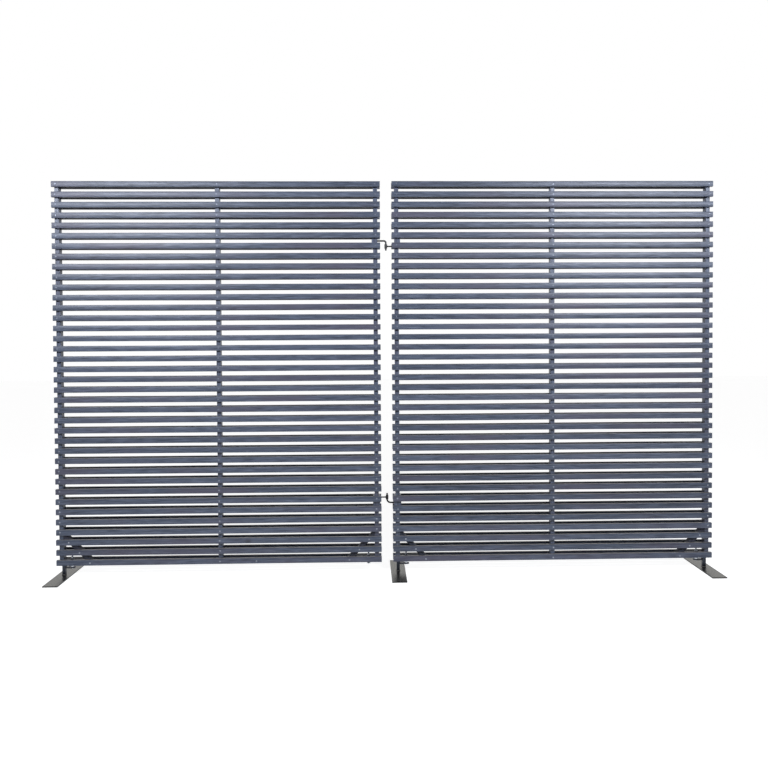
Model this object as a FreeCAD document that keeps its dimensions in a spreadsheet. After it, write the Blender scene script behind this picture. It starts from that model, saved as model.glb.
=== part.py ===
import FreeCAD, Part
import math
import os

import Sketcher

# Garden privacy screen: two double-sided slatted timber panels, joined by a pair of pin hinges
# and held up by three flat steel feet. Each panel has slats on both faces of three upright posts,
# a diagonal brace in each bottom corner and a bolt there that ties it to a foot.
#
# Frame: the origin is on the floor under the hinge axis, midway through the thickness.
# X runs along the screen to the right, Y away from the front, Z up.

# Driving dimensions in millimetres, each with what it is on the screen.
DIMENSIONS = {
    "batten_face": (26, "visible face of a slat"),
    "batten_thick": (16, "thickness of a slat"),
    "slat_pitch": (48, "from one slat to the next"),
    "slat_count": (38, "slats on each face of a panel"),
    "panel_width": (1530, "length of a slat"),
    "panel_gap": (55, "opening between the two panels"),
    "ground_gap": (56, "floor to the lowest slat"),
    "post_width": (20, "face of a post, seen between the slats"),
    "core_depth": (32, "depth of the posts, between the two layers of slats"),
    "inner_overhang": (12.5, "slat end beyond the inner post"),
    "outer_overhang": (8.5, "slat end beyond the outer post"),
    "brace_reach": (155, "where the brace's middle line would meet the panel's end and the lowest slat"),
    "brace_width": (20, "face of a brace"),
    "foot_inset": (24, "middle of a foot from the panel's end"),
    "bolt_inset": (38.5, "bolt from the middle of its foot"),
    "bolt_dia": (8, "shank of a foot bolt"),
    "bolt_length": (80, "foot bolt under its head"),
    "bolt_head_dia": (18, "domed bolt head"),
    "bolt_head_height": (4, "domed bolt head"),
    "bolt_play": (0.5, "hole over the bolt shank, on the diameter"),
    "neck_play": (0.3, "square hole over the square neck"),
    "nut_across": (13, "across the flats of a nut"),
    "nut_height": (6.5, "thickness of a nut"),
    "washer_dia": (16, "washer on the corner block"),
    "washer_thick": (1.6, "washer on the corner block"),
    "foot_length": (330, "flat bar on the floor"),
    "foot_width": (70, "flat bar on the floor"),
    "foot_thick": (5, "flat bar on the floor"),
    "upright_side": (15, "square bar between the foot and the post"),
    "tab_width": (20, "flat tab that the bolt goes through"),
    "tab_thick": (5, "flat tab that the bolt goes through"),
    "tab_drop": (13, "lowest slat to the top of the tab"),
    "tab_margin": (14, "bolt to the tip of the tab"),
    "tab_clip": (5, "corners cut off the tip of the tab"),
    "spare_neck_gap": (0.5, "unused bolt's neck to the nut that clamps it under the block"),
    "upper_hook_slat_count": (6, "slats above the upper hook"),
    "lower_hook_slat_count": (32, "slats above the lower hook"),
    "hook_rod": (8, "round bar of a hook"),
    "hook_drop": (46, "hook's arm to the tip of its pin"),
    "upper_hook_bend": (9, "middle line of the upper hook's bend"),
    "lower_hook_bend": (16, "middle line of the lower hook's bend"),
    "pin_chamfer": (1.5, "bevelled tip of a hook's pin"),
    "eye_outer": (13, "barrel of an eye"),
    "eye_height": (20, "barrel of an eye"),
    "eye_play": (0.6, "barrel's bore over the pin, on the diameter"),
    "eye_shank": (6.5, "round shank of an eye"),
    "pad_thick": (7, "packing pieces against a post at each hinge"),
}

UP = FreeCAD.Vector(0, 0, 1)
HALF_TURN_Z = FreeCAD.Rotation(UP, 180)
HALF_TURN_Y = FreeCAD.Rotation(FreeCAD.Vector(0, 1, 0), 180)
UNTURNED = FreeCAD.Rotation()


def sized(expression):
    """Expression with each driving dimension's name replaced by its cell."""
    words = expression.replace("(", "( ").replace(")", " )").split()
    return " ".join("Sizes." + word if word in DIMENSIONS else word for word in words)


# Lengths that follow from the driving dimensions, written in their names.
PANEL_HEIGHT = "( ( slat_count - 1 ) * slat_pitch + batten_face )"
SLAT_SPACE = "( slat_pitch - batten_face )"
BOLT_FROM_END = "( foot_inset + bolt_inset )"
BRACE_HALF = "( brace_width / sqrt( 2 ) )"
TAB_TOP = "( ground_gap - tab_drop )"
TAB_UNDER = f"( {TAB_TOP} - tab_thick )"
BLOCK_TOP = "( ground_gap + batten_face )"
WASHER_TOP = f"( {BLOCK_TOP} + washer_thick )"
SPARE_NUT = "( ground_gap - nut_height )"
SPARE_BOLT = f"( {SPARE_NUT} - tab_thick - spare_neck_gap )"
SHANK_END = "( panel_gap / 2 + inner_overhang + post_width + pad_thick )"
# The lower barrel stands where the lower hook's bend starts, and the upper hinge mirrors it.
BARREL_RISE = "( lower_hook_bend + eye_height / 2 )"


def add_sizes(document):
    """Spreadsheet with one named cell for each driving dimension."""
    sheet = document.addObject("Spreadsheet::Sheet", "Sizes")
    for row, (alias, (size, meaning)) in enumerate(DIMENSIONS.items(), start=1):
        sheet.set(f"A{row}", alias)
        sheet.set(f"B{row}", str(size))
        sheet.set(f"C{row}", meaning)
        sheet.setAlias(f"B{row}", alias)
    document.recompute()


def new_body(label, along="0", above="0", across="0", turn=UNTURNED):
    """Empty body whose own origin is placed by expressions for X, Z and Y."""
    body = DOCUMENT.addObject("PartDesign::Body", label)
    body.Label = label
    body.Placement = FreeCAD.Placement(FreeCAD.Vector(), turn)
    for axis, expression in (("x", along), ("y", across), ("z", above)):
        body.setExpression(f"Placement.Base.{axis}", sized(expression))
    return body


def origin_feature(body, role):
    """One of the body's own origin planes or axes."""
    return next(feature for feature in body.Origin.OriginFeatures if feature.Role == role)


def new_sketch(body, role, along="0", above="0"):
    """Empty sketch parallel to an origin plane of the body, its origin moved along X and up Z."""
    sketch = body.newObject("Sketcher::SketchObject", body.Label + "_sketch")
    sketch.AttachmentSupport = [(origin_feature(body, role), "")]
    sketch.MapMode = "FlatFace"
    along_axis, above_axis = {"XY_Plane": "xz", "XZ_Plane": "xy", "YZ_Plane": "zy"}[role]
    sketch.setExpression(f"AttachmentOffset.Base.{along_axis}", sized(along))
    sketch.setExpression(f"AttachmentOffset.Base.{above_axis}", sized(above))
    return sketch


def bind(sketch, rule, kind, *elements):
    """Dimension in a sketch that an expression sets."""
    expression = sized(rule)
    size = sketch.evalExpression(expression)
    index = sketch.addConstraint(Sketcher.Constraint(kind, *elements, size))
    sketch.setExpression(f"Constraints[{index}]", expression)


def pin_point(sketch, curve, end, x, y):
    """Holds one point of a curve at the place that two expressions give."""
    bind(sketch, x, "DistanceX", -1, 1, curve, end)
    bind(sketch, y, "DistanceY", -1, 1, curve, end)


def spot(sketch, x, y):
    """Starting place of a sketch point, worked out from its expressions."""
    return FreeCAD.Vector(sketch.evalExpression(sized(x)), sketch.evalExpression(sized(y)), 0)


def left_turning_arc(start, finish, radius):
    """Arc of less than half a turn that turns left on its way."""
    chord = finish - start
    outwards = FreeCAD.Vector(chord.y, -chord.x, 0).normalize()
    rise = radius - math.sqrt(radius**2 - (chord.Length / 2) ** 2)
    return Part.Arc(start, (start + finish) * 0.5 + outwards * rise, finish)


def draw_outline(sketch, corners, arcs=None, closed=True):
    """Sides from corner to corner, whose places are pairs of expressions. A side is straight,
    or an arc that turns left where arcs has a radius under the side's number."""
    arcs = arcs or {}
    spots = [spot(sketch, x, y) for x, y in corners]
    first = sketch.GeometryCount
    sides = len(corners) if closed else len(corners) - 1
    for number in range(sides):
        start, finish = spots[number], spots[(number + 1) % len(spots)]
        side = first + number
        if number in arcs:
            radius = sketch.evalExpression(sized(arcs[number]))
            sketch.addGeometry(left_turning_arc(start, finish, radius))
            bind(sketch, arcs[number], "Radius", side)
        else:
            sketch.addGeometry(Part.LineSegment(start, finish))
        if number:
            sketch.addConstraint(Sketcher.Constraint("Coincident", side - 1, 2, side, 1))
        pin_point(sketch, side, 1, *corners[number])
    if closed:
        sketch.addConstraint(Sketcher.Constraint("Coincident", first + sides - 1, 2, first, 1))
    else:
        pin_point(sketch, first + sides - 1, 2, *corners[-1])


def draw_circle(sketch, diameter, x="0", y="0"):
    """Circle whose diameter and middle are expressions."""
    size = sketch.evalExpression(sized(diameter))
    curve = sketch.addGeometry(Part.Circle(spot(sketch, x, y), UP, size / 2))
    bind(sketch, diameter, "Diameter", curve)
    pin_point(sketch, curve, 3, x, y)


def draw_rectangle(sketch, width, height):
    """Rectangle about the sketch's origin."""
    right, top = f"{width} / 2", f"{height} / 2"
    left, bottom = f"- {width} / 2", f"- {height} / 2"
    draw_outline(sketch, [(left, bottom), (right, bottom), (right, top), (left, top)])


def add_pad(body, sketch, length, symmetric=False):
    """Extrudes a sketch by an expression, on one side of it or on both."""
    pad = body.newObject("PartDesign::Pad", body.Label + "_pad")
    pad.Profile = sketch
    pad.SideType = "Symmetric" if symmetric else "One side"
    pad.setExpression("Length", sized(length))
    body.Tip = pad


def cut_through(body, sketch):
    """Cuts a sketch right through the body, both ways."""
    pocket = body.newObject("PartDesign::Pocket", body.Label + "_hole")
    pocket.Profile = sketch
    pocket.SideType = "Symmetric"
    pocket.Type = "ThroughAll"
    body.Tip = pocket
    CUTS.append(pocket)


def add_row(body, role, extent, count):
    """Repeats the body's last feature in a straight row along an origin axis."""
    row = body.newObject("PartDesign::LinearPattern", body.Label + "_row")
    row.Originals = [body.Tip]
    row.Direction = (origin_feature(body, role), [""])
    row.setExpression("Length", sized(extent))
    row.setExpression("Occurrences", sized(count))
    body.Tip = row


class Side:
    """One panel: right of the hinge axis (sign 1) or left of it (sign -1)."""

    def __init__(self, name, sign):
        self.name = name
        self.sign = sign
        self.middle = f"{sign} * ( panel_gap + panel_width ) / 2"

    def end(self, which):
        """The panel's inner or outer end."""
        return End(self, which)


class End:
    """One end of a panel, from which places are measured inwards along the slats."""

    def __init__(self, side, which):
        self.name = f"{side.name}_{which}"
        self.inwards = side.sign if which == "inner" else -side.sign
        beyond = "panel_gap / 2" if which == "inner" else "( panel_gap / 2 + panel_width )"
        self.place = f"{side.sign} * {beyond}"
        self.turn = UNTURNED if self.inwards > 0 else HALF_TURN_Z
        self.post_middle = f"( {which}_overhang + post_width / 2 )"
        self.post_back = f"( {which}_overhang + post_width )"

    def at(self, distance):
        """X of a point that lies this far inwards from the panel's end."""
        return f"{self.place} + {self.inwards} * {distance}"


def slats(side, face, sign):
    """All slats on one face of a panel."""
    body = new_body(
        f"{side.name}_{face}_slats",
        along=side.middle,
        across=f"{sign} * ( core_depth + batten_thick ) / 2",
        above="ground_gap + batten_face / 2",
    )
    sketch = new_sketch(body, "YZ_Plane")
    draw_rectangle(sketch, "batten_thick", "batten_face")
    add_pad(body, sketch, "panel_width", symmetric=True)
    add_row(body, "Z_Axis", "( slat_count - 1 ) * slat_pitch", "slat_count")


def post(label, along, fittings=()):
    """Upright post on edge between the layers, bored for the hinge shanks that go through it."""
    body = new_body(label, along=along, above="ground_gap")
    sketch = new_sketch(body, "XY_Plane")
    draw_rectangle(sketch, "post_width", "core_depth")
    add_pad(body, sketch, PANEL_HEIGHT)
    for fitting in fittings:
        hole = new_sketch(body, "YZ_Plane")
        draw_circle(hole, fitting.diameter, y=f"{fitting.height} - ground_gap")
        cut_through(body, hole)


def corner_batten(label, end, corners):
    """Batten in a bottom corner, its outline drawn inwards from the panel's end and up from its foot."""
    body = new_body(label, along=end.place, above="ground_gap", turn=end.turn)
    sketch = new_sketch(body, "XZ_Plane")
    draw_outline(sketch, corners)
    add_pad(body, sketch, "core_depth", symmetric=True)
    return body


def brace(end):
    """Diagonal batten at 45 degrees, cut plumb against the post and level with the panel's foot."""
    foot = "( brace_reach + batten_face / 2 )"
    head = f"( brace_reach + batten_face / 2 - {end.post_back} )"
    corner_batten(
        f"{end.name}_brace",
        end,
        [
            (end.post_back, f"{head} - {BRACE_HALF}"),
            (f"{foot} - {BRACE_HALF}", "0"),
            (f"{foot} + {BRACE_HALF}", "0"),
            (end.post_back, f"{head} + {BRACE_HALF}"),
        ],
    )


def block(end):
    """Short batten behind the lowest slats, from the post to the brace, bored for the foot bolt."""
    foot = f"( brace_reach + batten_face / 2 - {BRACE_HALF} )"
    body = corner_batten(
        f"{end.name}_block",
        end,
        [
            (end.post_back, "0"),
            (foot, "0"),
            (f"{foot} - batten_face", "batten_face"),
            (end.post_back, "batten_face"),
        ],
    )
    hole = new_sketch(body, "XY_Plane")
    draw_circle(hole, "bolt_dia + bolt_play", x=BOLT_FROM_END)
    cut_through(body, hole)


def foot(name, end):
    """Welded steel foot: flat bar on the floor, square bar under the post and a tab for the bolt."""
    middle = end.at("foot_inset")

    plate = new_body(f"{name}_plate", along=middle)
    sketch = new_sketch(plate, "XY_Plane")
    draw_rectangle(sketch, "foot_width", "foot_length")
    add_pad(plate, sketch, "foot_thick")

    upright = new_body(f"{name}_upright", along=middle, above="foot_thick")
    sketch = new_sketch(upright, "XY_Plane")
    draw_rectangle(sketch, "upright_side", "upright_side")
    add_pad(upright, sketch, "ground_gap - foot_thick")

    tab = new_body(f"{name}_tab", along=middle, above=TAB_UNDER, turn=end.turn)
    near, half = "upright_side / 2", "tab_width / 2"
    tip = "( bolt_inset + tab_margin )"
    sketch = new_sketch(tab, "XY_Plane")
    draw_outline(
        sketch,
        [
            (near, f"- {half}"),
            (f"{tip} - tab_clip", f"- {half}"),
            (tip, f"tab_clip - {half}"),
            (tip, f"{half} - tab_clip"),
            (f"{tip} - tab_clip", half),
            (near, half),
        ],
    )
    add_pad(tab, sketch, "tab_thick")
    hole = new_sketch(tab, "XY_Plane")
    reach = "( bolt_dia + neck_play ) / 2"
    left, right = f"bolt_inset - {reach}", f"bolt_inset + {reach}"
    draw_outline(hole, [(left, f"- {reach}"), (right, f"- {reach}"), (right, reach), (left, reach)])
    cut_through(tab, hole)


def bolts(label, places):
    """Domed bolts pushed up from below, with a square neck; a place is the underside of the head's rim."""
    body = new_body(label)
    shank = "bolt_dia / 2"
    for along, above in places:
        sketch = new_sketch(body, "XZ_Plane", along, above)
        draw_outline(
            sketch,
            [
                ("0", "- bolt_head_height"),
                ("bolt_head_dia / 2", "0"),
                (shank, "0"),
                (shank, "bolt_length"),
                ("0", "bolt_length"),
            ],
            arcs={0: "( ( bolt_head_dia / 2 ) ^ 2 + bolt_head_height ^ 2 ) / ( 2 * bolt_head_height )"},
        )
        turned = body.newObject("PartDesign::Revolution", label + "_turned")
        turned.Profile = sketch
        turned.ReferenceAxis = (sketch, ["V_Axis"])
        body.Tip = turned
        square = new_sketch(body, "XY_Plane", along, above)
        draw_rectangle(square, "bolt_dia", "bolt_dia")
        add_pad(body, square, "tab_thick")


def nuts(label, places):
    """Hexagon nuts; a place is the middle of the underside."""
    body = new_body(label)
    point, shoulder = "nut_across / sqrt( 3 )", "nut_across / sqrt( 3 ) / 2"
    flat = "nut_across / 2"
    for along, above in places:
        sketch = new_sketch(body, "XY_Plane", along, above)
        draw_outline(
            sketch,
            [
                (point, "0"),
                (shoulder, flat),
                (f"- {shoulder}", flat),
                (f"- {point}", "0"),
                (f"- {shoulder}", f"- {flat}"),
                (shoulder, f"- {flat}"),
            ],
        )
        draw_circle(sketch, "bolt_dia")
        add_pad(body, sketch, "nut_height")


def washers(label, places):
    """Round washers; a place is the middle of the underside."""
    body = new_body(label)
    for along, above in places:
        sketch = new_sketch(body, "XY_Plane", along, above)
        draw_circle(sketch, "washer_dia")
        draw_circle(sketch, "bolt_dia + bolt_play")
        add_pad(body, sketch, "washer_thick")


class Hinge:
    """Upper or lower hinge: a hook on one panel, whose pin stands in an eye on the other."""

    def __init__(self, level, pin_way):
        self.level = level
        self.pin_way = pin_way
        under_slats = f"ground_gap + ( slat_count - {level}_hook_slat_count ) * slat_pitch"
        self.arm = f"( {under_slats} - {SLAT_SPACE} / 2 )"
        self.barrel = f"( {self.arm} + {pin_way} * {BARREL_RISE} )"
        self.middle = f"( {self.arm} + {pin_way} * {BARREL_RISE} / 2 )"


class Fitting:
    """A hook or an eye, whose round shank goes level through the inner post of a panel."""

    def __init__(self, side, hinge, kind):
        self.side = side
        self.hinge = hinge
        self.kind = kind
        self.name = f"{side.name}_{hinge.level}"
        self.diameter = "hook_rod" if kind == "hook" else "eye_shank"
        self.height = hinge.arm if kind == "hook" else hinge.barrel


def hook(fitting):
    """Bent round bar: a pin on the hinge axis and an arm that goes through the post."""
    hinge = fitting.hinge
    body = new_body(
        f"{fitting.name}_hook",
        above=f"{hinge.arm} + {hinge.pin_way} * hook_drop",
        turn=HALF_TURN_Y if hinge.pin_way > 0 else UNTURNED,
    )
    section = new_sketch(body, "XY_Plane")
    draw_circle(section, "hook_rod")
    path = new_sketch(body, "XZ_Plane")
    bend = f"{hinge.level}_hook_bend"
    draw_outline(
        path,
        [
            ("0", "0"),
            ("0", f"hook_drop - {bend}"),
            (f"- {bend}", "hook_drop"),
            (f"- {SHANK_END}", "hook_drop"),
        ],
        arcs={1: bend},
        closed=False,
    )
    bar = body.newObject("PartDesign::AdditivePipe", body.Label + "_bar")
    bar.Profile = section
    bar.Spine = path
    DOCUMENT.recompute()
    tip = body.newObject("PartDesign::Chamfer", body.Label + "_tip")
    tip.Base = (bar, edges_at_base(bar.Shape))
    tip.setExpression("Size", sized("pin_chamfer"))
    body.Tip = tip


def edges_at_base(shape):
    """Names of a shape's edges whose ends lie in its own XY plane."""
    return [
        f"Edge{number}"
        for number, edge in enumerate(shape.Edges, start=1)
        if all(abs(vertex.Z) < NEAR for vertex in edge.Vertexes)
    ]


def eye(fitting):
    """Small barrel round the other panel's pin, on a shank that goes through the post."""
    body = new_body(
        f"{fitting.name}_eye",
        above=fitting.height,
        turn=UNTURNED if fitting.side.sign > 0 else HALF_TURN_Z,
    )
    barrel = new_sketch(body, "XY_Plane")
    draw_circle(barrel, "eye_outer")
    add_pad(body, barrel, "eye_height", symmetric=True)
    stem = new_sketch(body, "YZ_Plane")
    draw_circle(stem, "eye_shank")
    add_pad(body, stem, SHANK_END)
    bore = new_sketch(body, "XY_Plane")
    draw_circle(bore, "hook_rod + eye_play")
    cut_through(body, bore)


def hinge_pads(side, fittings):
    """Packing pieces against the inner post, which give the hinge shanks more wood to hold in.
    The lower hinge carries the left panel's inner end, so its posts are packed on both sides."""
    body = new_body(f"{side.name}_hinge_pads")
    end = side.end("inner")
    behind_post = f"( {end.post_back} + pad_thick / 2 )"
    before_post = "( inner_overhang - pad_thick / 2 )"
    for fitting in fittings:
        hinge = fitting.hinge
        for middle in (behind_post, before_post) if hinge is LOWER_HINGE else (behind_post,):
            sketch = new_sketch(body, "YZ_Plane", end.at(middle), hinge.middle)
            draw_rectangle(sketch, "core_depth", "slat_pitch")
            draw_circle(sketch, fitting.diameter, y=f"{fitting.height} - {hinge.middle}")
            add_pad(body, sketch, "pad_thick", symmetric=True)


def panel(side, fittings):
    """Timber of one panel, with its hinge pieces."""
    slats(side, "front", -1)
    slats(side, "rear", 1)
    inner, outer = side.end("inner"), side.end("outer")
    post(f"{side.name}_inner_post", inner.at(inner.post_middle), fittings)
    post(f"{side.name}_middle_post", side.middle)
    post(f"{side.name}_outer_post", outer.at(outer.post_middle))
    for end in (inner, outer):
        brace(end)
        block(end)
    hinge_pads(side, fittings)
    for fitting in fittings:
        if fitting.kind == "hook":
            hook(fitting)
        else:
            eye(fitting)


def at_bolts(above, *ends):
    """Places at this height on the axes of the foot bolts at these ends."""
    return [(end.at(BOLT_FROM_END), above) for end in ends]


def right_panel():
    """Right panel, which stands on a foot at each end."""
    side = Side("right", 1)
    inner, outer = side.end("inner"), side.end("outer")
    panel(side, [Fitting(side, UPPER_HINGE, "eye"), Fitting(side, LOWER_HINGE, "hook")])
    foot("middle_foot", inner)
    foot("right_foot", outer)
    bolts("right_foot_bolts", at_bolts(TAB_UNDER, inner, outer))
    nuts("right_foot_nuts", at_bolts(TAB_TOP, inner, outer))
    washers("right_block_washers", at_bolts(BLOCK_TOP, inner, outer))
    nuts("right_block_nuts", at_bolts(WASHER_TOP, inner, outer))


def left_panel():
    """Left panel, with a foot at its outer end. A spare bolt is clamped in the block at its inner end."""
    side = Side("left", -1)
    inner, outer = side.end("inner"), side.end("outer")
    panel(side, [Fitting(side, UPPER_HINGE, "hook"), Fitting(side, LOWER_HINGE, "eye")])
    foot("left_foot", outer)
    bolts("left_foot_bolts", at_bolts(TAB_UNDER, outer) + at_bolts(SPARE_BOLT, inner))
    nuts("left_foot_nuts", at_bolts(TAB_TOP, outer) + at_bolts(SPARE_NUT, inner))
    washers("left_block_washers", at_bolts(BLOCK_TOP, inner, outer))
    nuts("left_block_nuts", at_bolts(WASHER_TOP, inner, outer))


def check(document):
    """Stops the script if anything failed to build or a cut removed nothing."""
    for item in document.Objects:
        if "Invalid" in item.State or "Error" in item.State:
            raise RuntimeError(f"{item.Name} failed: {item.State}")
    for cut in CUTS:
        if cut.Shape.Volume >= cut.BaseFeature.Shape.Volume - NEAR:
            raise RuntimeError(f"{cut.Name} cuts nothing")
    for body in document.findObjects("PartDesign::Body"):
        if body.Shape.isNull() or not body.Shape.isValid() or not body.Shape.Solids:
            raise RuntimeError(f"{body.Label} has no sound shape")


NEAR = 0.001
CUTS = []
UPPER_HINGE = Hinge("upper", -1)
LOWER_HINGE = Hinge("lower", 1)
DOCUMENT = FreeCAD.newDocument("PrivacyScreen")

add_sizes(DOCUMENT)
right_panel()
left_panel()
DOCUMENT.recompute()
check(DOCUMENT)

os.makedirs("parts", exist_ok=True)
for body in DOCUMENT.findObjects("PartDesign::Body"):
    body.Shape.exportStep(f"parts/{body.Label}.step")
    box = body.Shape.BoundBox
    print(
        f"{body.Label}: {len(body.Shape.Solids)} solid(s), "
        f"{box.XLength:.1f} x {box.YLength:.1f} x {box.ZLength:.1f} mm"
    )
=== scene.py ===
# %% [markdown]
# # A slatted garden privacy screen
#
# The real object is a pair of timber panels that stand on flat steel feet. Two
# layers of stained battens are screwed on the front and on the back of three
# posts, so the eye passes between them only at some angles. Two pin hinges
# join the panels, and the left one swings on them.
#
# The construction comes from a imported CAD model, which this script never
# changes. What it adds is what a camera sees up close: worn edges, saw-cut
# ends, hundreds of screws, threads, weld beads and the finishes.

import math
import random

import bmesh
import bpy
from mathutils import Matrix, Vector


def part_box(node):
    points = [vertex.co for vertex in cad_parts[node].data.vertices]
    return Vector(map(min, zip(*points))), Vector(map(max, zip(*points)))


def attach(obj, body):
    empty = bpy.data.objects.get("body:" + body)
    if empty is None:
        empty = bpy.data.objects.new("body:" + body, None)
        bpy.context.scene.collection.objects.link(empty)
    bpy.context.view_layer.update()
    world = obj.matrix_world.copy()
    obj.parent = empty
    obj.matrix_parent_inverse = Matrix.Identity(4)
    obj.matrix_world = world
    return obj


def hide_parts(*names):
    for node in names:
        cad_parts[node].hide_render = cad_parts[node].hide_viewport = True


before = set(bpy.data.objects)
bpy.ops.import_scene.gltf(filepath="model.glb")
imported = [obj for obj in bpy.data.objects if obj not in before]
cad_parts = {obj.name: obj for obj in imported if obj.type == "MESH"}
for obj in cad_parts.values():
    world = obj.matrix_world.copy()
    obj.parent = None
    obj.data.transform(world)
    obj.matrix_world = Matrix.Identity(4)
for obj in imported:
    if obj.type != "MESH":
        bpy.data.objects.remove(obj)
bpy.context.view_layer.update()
MM = 0.001
SIDES = ("left", "right")

# %% [markdown]
# ## Tools for this lesson
#
# Blender keeps shaders and geometry rules as trees of nodes. One small function
# adds a node, sets its options and wires its sockets, which keeps every tree
# below readable as a list of steps. Colours are chosen on a screen as sRGB hex
# values, and the renderer works with linear light, so one function converts.


# %% Adding a node, and reading a colour
def add(tree, kind, sockets=None, **settings):
    """Add a node. A socket's value is a number, or the output that feeds it."""
    node = tree.nodes.new(kind)
    for name, value in settings.items():
        setattr(node, name, value)
    for name, value in (sockets or {}).items():
        if isinstance(value, bpy.types.Node):
            value = value.outputs[0]
        if isinstance(value, bpy.types.NodeSocket):
            tree.links.new(value, node.inputs[name])
        else:
            node.inputs[name].default_value = value
    return node


def paint(hex_colour):
    """Turn an sRGB hex value into the linear colour that a shader wants."""
    parts = [int(hex_colour[i:i + 2], 16) / 255 for i in (1, 3, 5)]
    linear = [p / 12.92 if p <= 0.04045 else ((p + 0.055) / 1.055) ** 2.4 for p in parts]
    return (*linear, 1.0)


print("a mid blue-grey in linear light:", [round(c, 3) for c in paint("#5A6070")])

# %% [markdown]
# A geometry tree declares its sizes as named inputs, as a drawing does. `grow`
# runs such a tree on a few points or a drawn path, keeps the result as a plain
# mesh and takes the modifier off again, so what is left is ordinary geometry
# that any other program can read.


# %% Starting and ending a rule
KINDS = {"size": "NodeSocketFloat", "count": "NodeSocketInt", "turn": "NodeSocketVector",
         "finish": "NodeSocketMaterial", "piece": "NodeSocketObject"}


def new_rule(name, **inputs):
    """Start a geometry tree whose named inputs are sizes, counts or finishes."""
    tree = bpy.data.node_groups.new(name, "GeometryNodeTree")
    tree.interface.new_socket("Geometry", in_out="INPUT", socket_type="NodeSocketGeometry")
    tree.interface.new_socket("Geometry", in_out="OUTPUT", socket_type="NodeSocketGeometry")
    for label, kind in inputs.items():
        tree.interface.new_socket(label, in_out="INPUT", socket_type=KINDS[kind])
    return tree, tree.nodes.new("NodeGroupInput").outputs


def end_rule(tree, shape, finish):
    """Close a tree: no instances are left, and the finish is set."""
    solid = add(tree, "GeometryNodeRealizeInstances", {0: shape})
    painted = add(tree, "GeometryNodeSetMaterial", {"Geometry": solid, "Material": finish})
    add(tree, "NodeGroupOutput", {0: painted})


print("a rule's inputs may be a", ", ".join(KINDS))


# %% Growing a piece, and fitting it
def as_object(name, mesh):
    """Put a mesh in the scene, at the origin and unturned."""
    piece = bpy.data.objects.new(name, mesh)
    bpy.context.scene.collection.objects.link(piece)
    return piece


def bake(piece):
    """Replace a piece's mesh by what its modifiers make of it."""
    graph = bpy.context.evaluated_depsgraph_get()
    mesh = bpy.data.meshes.new_from_object(
        piece.evaluated_get(graph), preserve_all_data_layers=True, depsgraph=graph)
    piece.modifiers.clear()
    piece.data = mesh


def grow(tree, name, points, edges=(), girths=(), **sizes):
    """Run a tree on points, or on a path through them, and keep a plain mesh."""
    seed = bpy.data.meshes.new(name)
    seed.from_pydata([Vector(p) for p in points], list(edges), [])
    if girths:
        seed.attributes.new("girth", "FLOAT", "POINT").data.foreach_set("value", girths)
    piece = as_object(name, seed)
    rule = piece.modifiers.new("rule", "NODES")
    rule.node_group = tree
    for socket in tree.interface.items_tree:
        if socket.in_out == "INPUT" and socket.name in sizes:
            rule[socket.identifier] = sizes[socket.name]
    bake(piece)
    return piece


def fit(piece, body, slot, *nodes):
    """Put a finished piece on its body, in place of the CAD nodes that it stands for."""
    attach(piece, body)
    if nodes:
        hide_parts(*nodes)
    triangles = sum(len(face.vertices) - 2 for face in piece.data.polygons)
    print(f"{piece.name}: {triangles} triangles")


print("a piece is placed as its CAD node is, and its triangles are counted")


# %% [markdown]
# ## Finish 1: stained softwood
#
# The battens are planed spruce under a blue-grey woodstain, brushed or dipped. The
# stain is a thin, half-clear film: it keeps the grain visible as fine dark
# streaks along the batten, goes darker over knots, and has a satin sheen. No
# two battens took it up the same, so each one gets its own tone. The faces that
# look up are painted a lighter tan-grey, as dust and as painted light from above.
#
# The late-wood lines are noise about 1 mm wide that is stretched 60 times along
# the grain. They are too fine for a view of the whole screen, where what shows
# is the patchy way the stain soaked in: streaks 6 mm wide and some 80 mm long.
# The same recipe serves slats, upright posts and slanting braces, so only the
# direction of the grain is passed in.


# %% Knots and grain
GRAIN_FINE = 1.1 * MM
GRAIN_BROAD = 6 * MM
FINE_STRETCH = 60
BROAD_STRETCH = 13
FINE_SHARE = 0.35
KNOT_SPACING = 230 * MM
KNOT_STRETCH = 0.55
KNOT_REACH = 0.055


def knots(tree, moved):
    """Sparse cells, longer than wide: how near a knot is, and the grain pushed aside by it."""
    place = add(tree, "ShaderNodeMapping", {"Vector": moved, "Scale": (KNOT_STRETCH, 1.0, 1.0)})
    cells = add(tree, "ShaderNodeTexVoronoi",
                {"Vector": place, "Scale": 1 / KNOT_SPACING, "Randomness": 1.0})
    near_knot = add(tree, "ShaderNodeMapRange",
                    {"Value": cells.outputs["Distance"], "From Min": 0.0,
                     "From Max": KNOT_REACH, "To Min": 1.0, "To Max": 0.0}).outputs[0]
    aside = (0, GRAIN_BROAD / 2, GRAIN_BROAD / 2)
    pushed = add(tree, "ShaderNodeVectorMath", {0: aside, "Scale": near_knot},
                 operation="SCALE")
    return near_knot, add(tree, "ShaderNodeVectorMath", {0: moved, 1: pushed}, operation="ADD")


def grain_lines(tree, bent):
    """Broad soaked-in streaks mixed with fine late-wood lines, both along X."""
    long_grain = add(tree, "ShaderNodeMapping",
                     {"Vector": bent, "Scale": (1 / FINE_STRETCH, 1, 1)})
    short_grain = add(tree, "ShaderNodeMapping",
                      {"Vector": bent, "Scale": (1 / BROAD_STRETCH, 1, 1)})
    fine = add(tree, "ShaderNodeTexNoise",
               {"Vector": long_grain, "Scale": 1 / GRAIN_FINE, "Detail": 3.0, "Roughness": 0.6})
    broad = add(tree, "ShaderNodeTexNoise",
                {"Vector": short_grain, "Scale": 1 / GRAIN_BROAD, "Detail": 4.0,
                 "Roughness": 0.6, "Distortion": 0.4})
    return add(tree, "ShaderNodeMix", {0: FINE_SHARE, 2: broad, 3: fine},
               data_type="FLOAT").outputs[0]


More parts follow.
